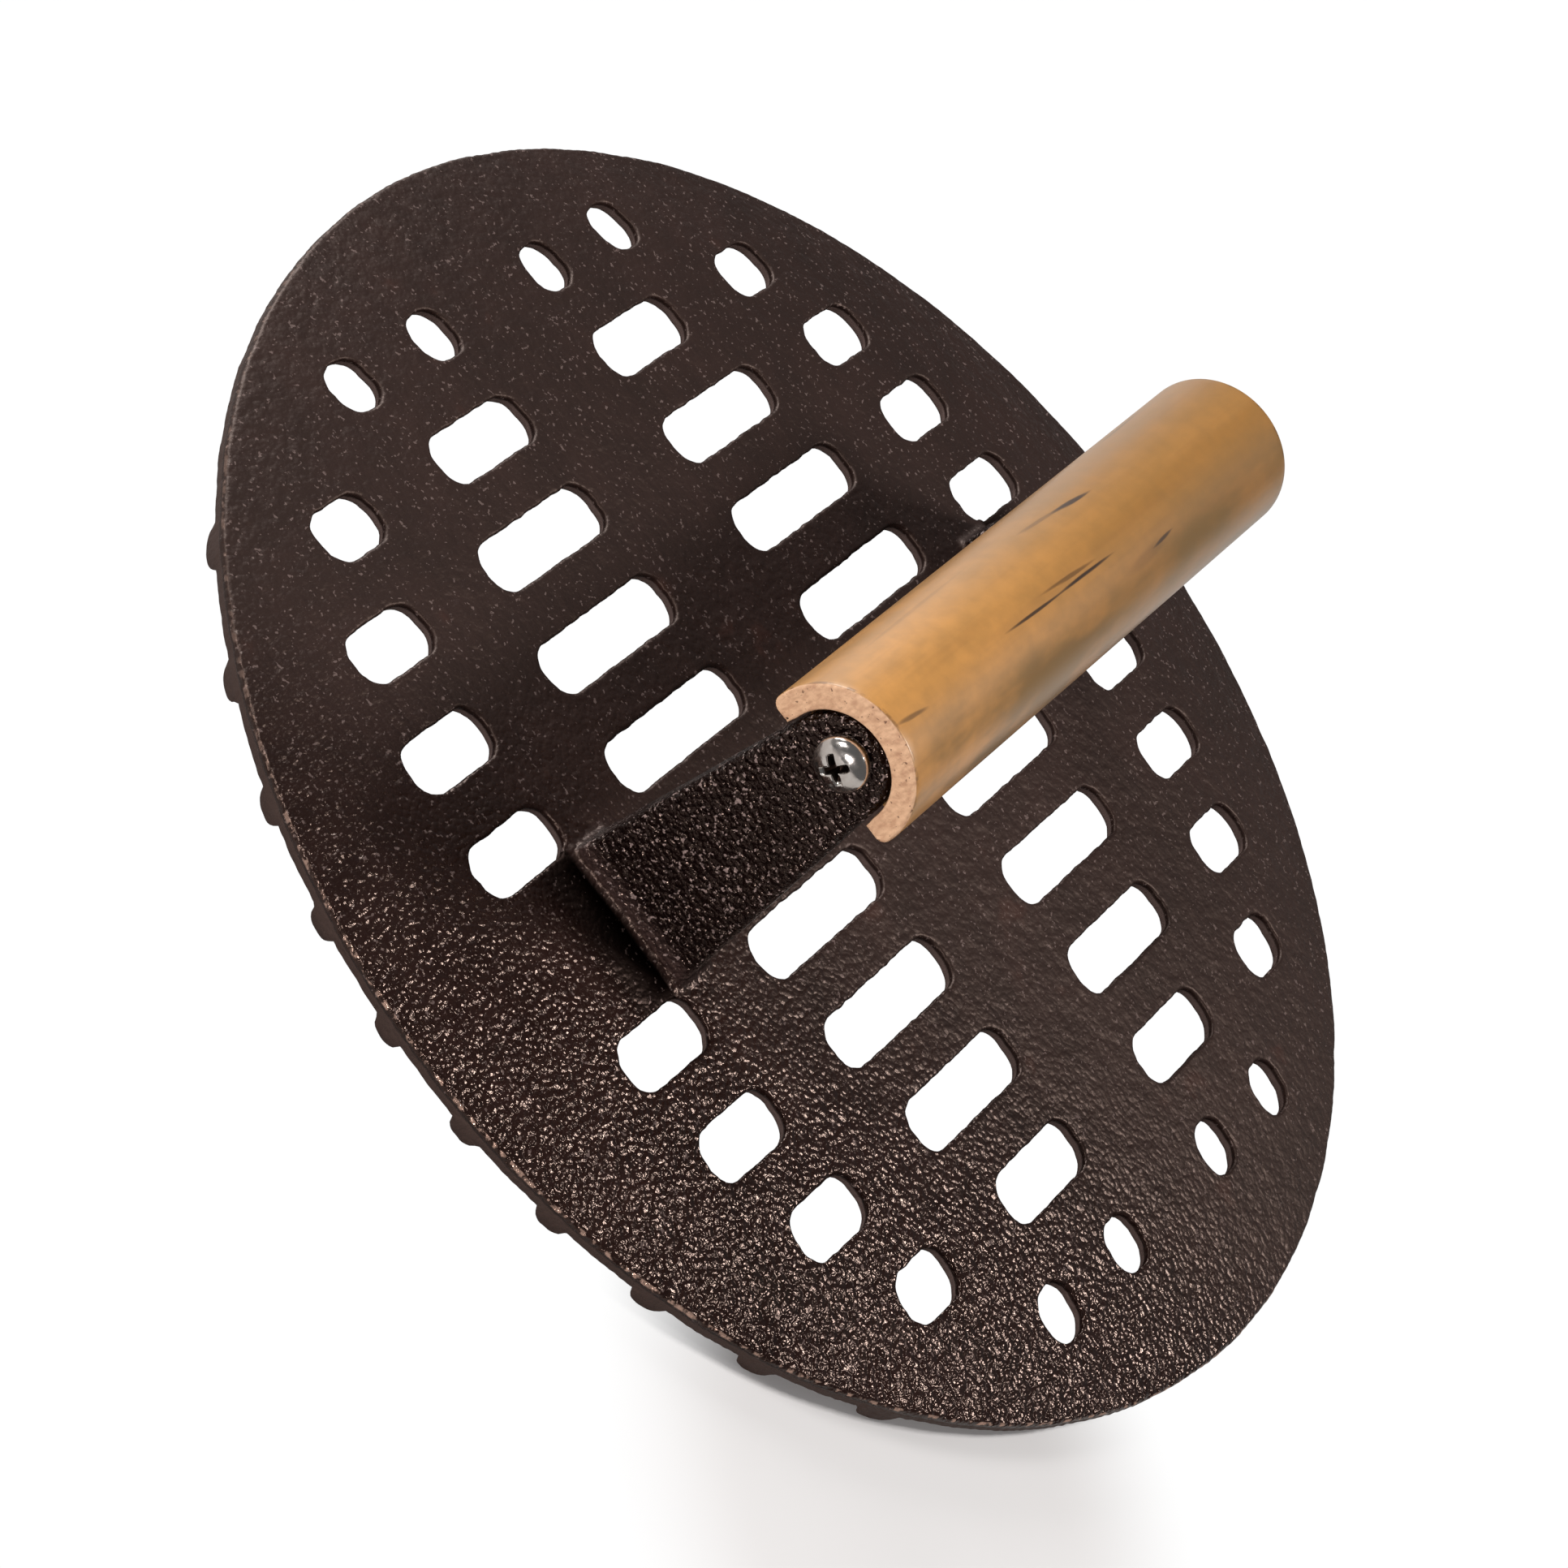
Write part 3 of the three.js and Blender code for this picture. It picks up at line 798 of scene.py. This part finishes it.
def join(tree, shader, **sockets):
    for key, value in sockets.items():
        socket = shader.inputs[key.replace("_", " ").title()]
        if isinstance(value, bpy.types.NodeSocket):
            tree.links.new(value, socket)
        else:
            socket.default_value = value


def cast_iron():
    """Oiled sand-cast iron: brown black, with a fine glossy grain that is blacker on the uprights.
    Painted glints (light specks in the colour) add to the sparkle of the bumps, in full on the
    uprights and fainter on the plate. A bronze line runs along the rim's rounded edge: partly
    rubbed wear, partly a painted highlight that is strongest on the -X, -Y side. There is a little
    rust. At the foot of each upright a painted highlight lies along the fillet, and painted shade
    darkens the plate in front of it. The side walls, below the domed top, are a plain lighter
    brown, and the slot walls are painted lighter still: painted light on walls that lie in shade."""
    material, tree, shader = new_material("cast_iron")
    where = add(tree, "TexCoord").outputs["Object"]
    x, y, z = parts_of(tree, where)
    radius = distance(tree, x, y)
    slant = calc(tree, "ADD", calc(tree, "MULTIPLY", x, 1.7), calc(tree, "MULTIPLY", y, 1.1))
    share = calc(tree, "POWER", calc(tree, "DIVIDE", radius, RIM_RADIUS * MM), CROWN_POWER)
    dome = calc(tree, "MULTIPLY", calc(tree, "SUBTRACT", 1.0, share), CROWN_RISE * MM)
    above = calc(tree, "SUBTRACT", z, calc(tree, "ADD", dome, RIM_TOP * MM))
    wall = graded(tree, above, -0.0014, -0.0009, 1.0, 0.0)
    upright = graded(tree, above, 0.0004, 0.0020)
    sand = use(tree, GRAIN, {"Vector": where, "Size": 0.00098, "Roundness": 0.55,
                             "Speck level": 0.6})
    glossy = use(tree, GRAIN, {"Vector": where, "Size": 0.00085, "Roundness": 0.5,
                               "Speck level": 0.6})
    lumps = use(tree, GRAIN, {"Vector": where, "Size": 0.0021, "Roundness": 0.2,
                              "Speck level": 0.6})
    patches = use(tree, MOTTLE, {"Vector": where, "Size": 0.03, "Softness": 0.22})["Mask"]
    clouds = use(tree, MOTTLE, {"Vector": where, "Size": 0.007, "Softness": 0.25})["Mask"]
    black = (0.0070, 0.0026, 0.0022, 1)
    brown = (0.0165, 0.0072, 0.0060, 1)
    colour = blend(tree, calc(tree, "ADD", calc(tree, "MULTIPLY", patches, 0.5),
                              calc(tree, "MULTIPLY", clouds, 0.5)), black, brown)
    colour = blend(tree, calc(tree, "MULTIPLY", upright, 0.8), colour,
                   (0.0030, 0.0012, 0.0012, 1))
    rust = use(tree, MOTTLE, {"Vector": where, "Size": 0.014, "Softness": 0.04, "Level": 0.7})
    colour = blend(tree, calc(tree, "MULTIPLY", rust["Mask"], 0.3), colour,
                   (0.045, 0.014, 0.009, 1))
    # Painted highlight: a lighter band along the fillet at each upright's foot, where the light
    # catches it.
    painted_foot_highlight = calc(tree, "MULTIPLY", graded(tree, above, 0.0006, 0.0012),
                 graded(tree, above, 0.0016, 0.0052, 1.0, 0.0))
    painted_foot_highlight = calc(tree, "MULTIPLY", painted_foot_highlight, graded(tree, calc(tree, "ABSOLUTE", x), 0.0655, 0.0665))
    colour = blend(tree, calc(tree, "MULTIPLY", painted_foot_highlight, 0.7), colour, (0.060, 0.036, 0.032, 1))
    # Painted shade: the plate just in front of each upright's foot is made nearly black, metallic
    # and rougher, standing in for the shade there.
    beside = graded(tree, calc(tree, "ABSOLUTE", y), 0.011, 0.018, 1.0, 0.0)
    ahead = graded(tree, calc(tree, "ABSOLUTE", x), 0.069, 0.082, 1.0, 0.0)
    painted_foot_shade = calc(tree, "MULTIPLY", beside, ahead)
    painted_foot_shade = calc(tree, "MULTIPLY", painted_foot_shade,
                  graded(tree, calc(tree, "ABSOLUTE", x), 0.0680, 0.0690))
    colour = blend(tree, calc(tree, "MULTIPLY", painted_foot_shade, 0.95), colour,
                   (0.0008, 0.0003, 0.0003, 1))
    # Painted light: the slot walls, clear of the rim, are painted much lighter than the plate,
    # standing in for light that the shaded walls miss.
    slot_wall_painted_light = calc(tree, "MULTIPLY", wall, graded(tree, radius, 0.110, 0.112, 1.0, 0.0))
    # Painted glints: light specks blended into the colour, in full on the uprights and fainter on
    # the plate, standing in for sparkling highlights.
    painted_glints = use(tree, GRAIN, {"Vector": where, "Size": 0.0008, "Roundness": 0.0,
                               "Speck level": graded(tree, upright, 0, 1, 0.635, 0.61)})
    painted_glint_share = graded(tree, upright, 0, 1, 0.35, 1.0)
    colour = blend(tree, calc(tree, "MULTIPLY", painted_glints["Specks"], painted_glint_share), colour,
                   (0.26, 0.19, 0.175, 1))
    colour = blend(tree, wall, colour, (0.036, 0.022, 0.019, 1))
    # Painted light on the slot walls, which lie in shade.
    colour = blend(tree, slot_wall_painted_light, colour, (0.115, 0.080, 0.072, 1))
    # The bronze rim line: broken-up wear along the rim's rounded edge, and partly a painted
    # highlight that is strongest on the -X, -Y side, where the light catches it.
    edge = graded(tree, radius, 0.11440, 0.11455)
    edge = calc(tree, "MULTIPLY", edge, graded(tree, radius, 0.11474, 0.11479, 1.0, 0.0))
    edge = calc(tree, "MULTIPLY", edge, graded(tree, z, 0.0042, 0.0045))
    wear_and_highlight_breaks = use(tree, MOTTLE, {"Vector": where, "Size": 0.0016, "Softness": 0.06, "Level": 0.54})
    edge = calc(tree, "MULTIPLY", edge, wear_and_highlight_breaks["Mask"])
    edge = calc(tree, "MULTIPLY", edge, graded(tree, slant, -0.19, -0.09, 1.0, 0.15))
    colour = blend(tree, edge, colour, (0.50, 0.33, 0.26, 1))
    lower_left = graded(tree, slant, -0.22, -0.02, 1.0, 0.17)
    on_plate = calc(tree, "MULTIPLY", lower_left, calc(tree, "SUBTRACT", 1.0, upright))
    off_wall = calc(tree, "SUBTRACT", 1.0, calc(tree, "MULTIPLY", wall, 0.6))
    fine = calc(tree, "MULTIPLY", calc(tree, "MULTIPLY", sand["Height"], on_plate), off_wall)
    height = calc(tree, "ADD", calc(tree, "MULTIPLY", fine, 0.00068),
                  calc(tree, "MULTIPLY", lumps["Height"], 0.00035))
    coarse = calc(tree, "MULTIPLY", glossy["Height"], upright)
    height = calc(tree, "ADD", height, calc(tree, "MULTIPLY", coarse, 0.00095))
    bump = add(tree, "Bump", {"Strength": 1.0, "Distance": 1.0, "Height": height})
    rough = graded(tree, lower_left, 0.17, 0.9, 0.50, 0.20)
    rough = graded(tree, upright, 0, 1, rough, 0.13)
    rough = calc(tree, "MAXIMUM", rough, calc(tree, "MULTIPLY", wall, 0.6))
    rough = calc(tree, "MAXIMUM", rough, calc(tree, "MULTIPLY", painted_foot_shade, 0.8))
    join(tree, shader, base_color=colour, roughness=rough, normal=bump.outputs[0],
         metallic=calc(tree, "MAXIMUM", calc(tree, "MULTIPLY", edge, 0.6), painted_foot_shade))
    shader.inputs["Specular Tint"].default_value = (1.0, 0.72, 0.60, 1)
    shader.inputs["Specular IOR Level"].default_value = 0.5
    return material


# Marks in the wood, in millimetres: middle along the grip, middle round it from the top,
# half length, half width, lean, strength.
WOOD_MARKS = [
    (9.5, 9.7, 6.5, 0.60, -0.11, 0.95),
    (1.0, 10.7, 8.0, 0.55, -0.10, 0.4),
    (-20.0, -0.4, 11.0, 0.38, -0.04, 0.95),
    (-4.0, -0.9, 11.0, 0.45, -0.03, 1.0),
    (-8.0, 0.5, 10.0, 0.40, -0.07, 0.6),
    (20.0, -4.6, 4.2, 0.42, 0.06, 0.85),
    (14.0, -5.2, 8.0, 1.40, 0.05, 0.22),
    (-60.0, -0.6, 5.0, 0.45, -0.10, 0.6),
    (-36.0, 13.0, 20.0, 0.5, 0.0, 0.18),
    (44.0, 18.0, 9.0, 0.6, 0.03, 0.5),
    (-22.0, -19.0, 12.0, 0.5, 0.02, 0.5),
]


def varnished_wood():
    """Honey-coloured close-grained wood under varnish: lighter at one end, browner and more
    mottled at the other, with dark mineral marks along the grain."""
    material, tree, shader = new_material("varnished_wood")
    where = add(tree, "TexCoord").outputs["Object"]
    x, y, z = parts_of(tree, where)
    around = calc(tree, "ARCTAN2", y, calc(tree, "SUBTRACT", z, GRIP_AXIS * MM))
    around = calc(tree, "MULTIPLY", around, GRIP_RADIUS * MM)
    grain_space = add(tree, "Mapping", {"Vector": where, "Scale": (0.05, 1, 1)}).outputs[0]
    broad_space = add(tree, "Mapping", {"Vector": where, "Scale": (0.35, 1, 1)}).outputs[0]
    lines = use(tree, GRAIN, {"Vector": grain_space, "Size": 0.0014, "Roundness": 0.1,
                              "Speck level": 0.6})
    bands = use(tree, MOTTLE, {"Vector": grain_space, "Size": 0.006, "Softness": 0.22})["Mask"]
    figure = use(tree, MOTTLE, {"Vector": broad_space, "Size": 0.007, "Softness": 0.16})["Mask"]
    flecks = use(tree, MOTTLE, {"Vector": where, "Size": 0.0035, "Softness": 0.22})["Mask"]
    far = graded(tree, x, -0.055, 0.03)
    colour = blend(tree, far, (0.54, 0.250, 0.062, 1), (0.305, 0.140, 0.031, 1))
    colour = blend(tree, calc(tree, "MULTIPLY", bands, 0.25), colour, (0.50, 0.255, 0.08, 1))
    low_side = graded(tree, around, -0.010, 0.001, 1.0, 0.0)
    shade = calc(tree, "MULTIPLY", figure, graded(tree, low_side, 0, 1, 0.22, 0.85))
    colour = blend(tree, shade, colour, (0.175, 0.098, 0.024, 1))
    colour = blend(tree, calc(tree, "MULTIPLY", flecks, 0.22), colour, (0.17, 0.095, 0.030, 1))
    colour = blend(tree, graded(tree, lines["Height"], 0.5, 0.8, 0.0, 0.18), colour,
                   (0.23, 0.100, 0.028, 1))
    frayed = calc(tree, "ADD", around, calc(tree, "MULTIPLY", calc(
        tree, "SUBTRACT", lines["Height"], 0.5), 0.0009))
    for middle, side, half_length, half_width, lean, strength in WOOD_MARKS:
        mark = use(tree, STREAK, {
            "Along": x, "Across": frayed, "Middle along": middle * MM, "Middle across": side * MM,
            "Half length": half_length * MM, "Half width": half_width * MM, "Lean": lean})["Mask"]
        colour = blend(tree, calc(tree, "MULTIPLY", mark, strength), colour,
                       (0.030, 0.012, 0.004, 1))
    end = graded(tree, calc(tree, "ABSOLUTE", x), 0.06462, 0.06485)
    ray_space = add(tree, "Mapping", {"Vector": where, "Scale": (1, 1, 0.5)}).outputs[0]
    pores = use(tree, GRAIN, {"Vector": where, "Size": 0.0007, "Roundness": 0.3,
                              "Speck level": 0.66})
    rays = use(tree, GRAIN, {"Vector": ray_space, "Size": 0.0008, "Roundness": 0.2,
                             "Speck level": 0.6})
    cut = blend(tree, graded(tree, rays["Height"], 0.25, 0.75), (0.50, 0.275, 0.160, 1),
                (0.74, 0.46, 0.28, 1))
    cut = blend(tree, calc(tree, "MULTIPLY", pores["Specks"], 0.8), cut, (0.12, 0.055, 0.03, 1))
    colour = blend(tree, end, colour, cut)
    arris = calc(tree, "MULTIPLY", graded(tree, calc(tree, "ABSOLUTE", x), 0.0640, 0.0644),
                 graded(tree, calc(tree, "ABSOLUTE", x), 0.0647, 0.0649, 1.0, 0.0))
    nicked = use(tree, MOTTLE, {"Vector": where, "Size": 0.0022, "Softness": 0.07, "Level": 0.55})
    nicks = calc(tree, "MULTIPLY", arris, nicked["Mask"])
    colour = blend(tree, calc(tree, "MULTIPLY", nicks, 0.6), colour, (0.13, 0.055, 0.02, 1))
    height = calc(tree, "ADD", calc(tree, "MULTIPLY", lines["Height"], 0.00004),
                  calc(tree, "MULTIPLY", calc(tree, "MULTIPLY", pores["Height"], end), 0.0003))
    bump = add(tree, "Bump", {"Strength": 1.0, "Distance": 1.0, "Height": height})
    join(tree, shader, base_color=colour, normal=bump.outputs[0],
         roughness=graded(tree, end, 0, 1, 0.42, 0.75),
         coat_weight=graded(tree, end, 0, 1, 1.0, 0.0))
    shader.inputs["Coat Roughness"].default_value = 0.34
    shader.inputs["Coat IOR"].default_value = 1.42
    shader.inputs["Specular IOR Level"].default_value = 0.3
    return material


def bright_nickel():
    """Nickel plate with the faint haze and scuffs of a driven screw, with painted shade down in
    the cross recess, which is found by its depth under the dome of the head."""
    material, tree, shader = new_material("bright_nickel")
    where = add(tree, "TexCoord").outputs["Object"]
    scuffs = use(tree, GRAIN, {"Vector": where, "Size": 0.0005, "Roundness": 0.2,
                               "Speck level": 0.6})
    haze = use(tree, MOTTLE, {"Vector": where, "Size": 0.002, "Softness": 0.2})["Mask"]
    colour = blend(tree, haze, (0.80, 0.765, 0.73, 1), (0.66, 0.61, 0.57, 1))
    x, y, z = parts_of(tree, where)
    up = calc(tree, "SUBTRACT", z, SCREW_AXIS * MM)
    from_axis = distance(tree, y, up)
    share = calc(tree, "POWER", calc(tree, "DIVIDE", from_axis, HEAD_RADIUS * MM), DOME_POWER)
    rise = calc(tree, "SQRT", calc(tree, "MAXIMUM", calc(tree, "SUBTRACT", 1.0, share), 0.0))
    dome = calc(tree, "ADD", calc(tree, "MULTIPLY", rise, (HEAD_HEIGHT - HEAD_EDGE) * MM),
                (SCREW_SEAT + HEAD_EDGE) * MM)
    depth = calc(tree, "SUBTRACT", dome, calc(tree, "ABSOLUTE", x))
    # Painted shade: the recess below the dome is painted dark brown and made rougher.
    painted_recess_shade = calc(tree, "MULTIPLY", graded(tree, depth, 0.00025, 0.0008),
                  graded(tree, from_axis, 0.0026, 0.0029, 1.0, 0.0))
    colour = blend(tree, painted_recess_shade, colour, (0.030, 0.018, 0.014, 1))
    bump = add(tree, "Bump", {"Strength": 1.0, "Distance": 1.0,
                              "Height": calc(tree, "MULTIPLY", scuffs["Height"], 0.00002)})
    rough = graded(tree, haze, 0, 1, 0.12, 0.24)
    join(tree, shader, base_color=colour, metallic=1.0, normal=bump.outputs[0],
         roughness=calc(tree, "MAXIMUM", rough, calc(tree, "MULTIPLY", painted_recess_shade, 0.5)))
    return material


build_casting(cast_iron())
build_grip(varnished_wood())
nickel = bright_nickel()
build_screw("screw_left", -1, math.radians(-25), nickel, "grip_screw_left")
build_screw("screw_right", 1, math.radians(58), nickel, "grip_screw_right")

# ---- floor ----

def pale_floor():
    """A white floor. To the camera it glows evenly, but for a soft-edged round patch beside the
    press that shows its shadow; mirrored, it is grey."""
    material, tree, shader = new_material("pale_floor")
    where = add(tree, "TexCoord").outputs["Object"]
    x, y, _ = parts_of(tree, where)
    radius = distance(tree, x, y)
    under = graded(tree, radius, 0.108, 0.113, 1.0, 0.0)
    from_shadow = distance(tree, calc(tree, "SUBTRACT", x, SHADOW_PLACE[0]),
                           calc(tree, "SUBTRACT", y, SHADOW_PLACE[1]))
    away = graded(tree, from_shadow, SHADOW_FULL, SHADOW_GONE)
    path = add(tree, "LightPath").outputs
    bright = calc(tree, "MULTIPLY", path["Is Camera Ray"], calc(tree, "MAXIMUM", under, away))
    join(tree, shader, base_color=blend(tree, path["Is Glossy Ray"], (0.74, 0.735, 0.735, 1),
                                        (0.45, 0.44, 0.43, 1)))
    shader.inputs["Roughness"].default_value = 1.0
    shader.inputs["Specular IOR Level"].default_value = 0.0
    glow = add(tree, "Emission", {"Color": (1, 1, 1, 1), "Strength": 1.02})
    mixed = add(tree, "MixShader", {0: bright, 1: shader.outputs[0], 2: glow.outputs[0]})
    output = next(n for n in tree.nodes if n.type == "OUTPUT_MATERIAL")
    tree.links.new(mixed.outputs[0], output.inputs[0])
    return material


floor_mesh = bpy.data.meshes.new("floor")
corners = [(-1, -1), (1, -1), (1, 1), (-1, 1)]
floor_mesh.from_pydata([(u * FLOOR_REACH, v * FLOOR_REACH, FLOOR_LEVEL) for u, v in corners], [],
                       [(0, 1, 2, 3)])
floor_mesh.materials.append(pale_floor())
floor = bpy.data.objects.new("floor", floor_mesh)
bpy.context.scene.collection.objects.link(floor)

# ---- lights ----

def softbox(name, direction, distance, size, power, colour):
    """A square area light in a direction from the press, turned to face it."""
    lamp = bpy.data.lights.new(name, "AREA")
    lamp.shape, lamp.size, lamp.energy, lamp.color = "SQUARE", size, power, colour
    light = bpy.data.objects.new(name, lamp)
    away = Vector(direction).normalized()
    light.location = away * distance + Vector((0, 0, 0.02))
    light.rotation_euler = away.to_track_quat("Z", "Y").to_euler()
    bpy.context.scene.collection.objects.link(light)


softbox("side_softbox", (0.357, -0.452, 0.819), 1.0, 0.20, 7.0, (1.0, 0.97, 0.95))
softbox("front_softbox", (-0.457, 0.70, 0.551), 1.0, 0.30, 3.4, (1.0, 0.98, 0.97))
softbox("back_softbox", (0.36, 0.86, 0.36), 1.0, 0.45, 8.5, (1.0, 1.0, 1.0))
softbox("low_softbox", (-0.93, 0.02, 0.36), 1.0, 0.10, 4.2, (1.0, 0.95, 0.94))

world = bpy.data.worlds.new("studio")
bpy.context.scene.world = world
world.use_nodes = True
world.node_tree.nodes["Background"].inputs[0].default_value = (1, 1, 1, 1)
world.node_tree.nodes["Background"].inputs[1].default_value = 0.11
bpy.context.scene.view_settings.view_transform = "Standard"

# ---- camera ----

CAMERA_RIGHT = (0.48330605, -0.60608533, 0.63172449)
CAMERA_UP = (0.39889582, 0.79479737, 0.45736119)
CAMERA_BACK = (-0.77929287, 0.03094683, 0.62589529)
CAMERA_PLACE = (-643.100, 25.422, 512.416)
FOCAL_LENGTH = 117.186
camera = bpy.data.objects.new("camera", bpy.data.cameras.new("camera"))
camera.matrix_world = Matrix([
    (CAMERA_RIGHT[k], CAMERA_UP[k], CAMERA_BACK[k], CAMERA_PLACE[k] * MM) for k in range(3)
] + [(0, 0, 0, 1)])
camera.data.sensor_width = 36
camera.data.lens = FOCAL_LENGTH
camera.data.clip_start = 0.01
camera.data.clip_end = 50
bpy.context.scene.collection.objects.link(camera)
bpy.context.scene.camera = camera
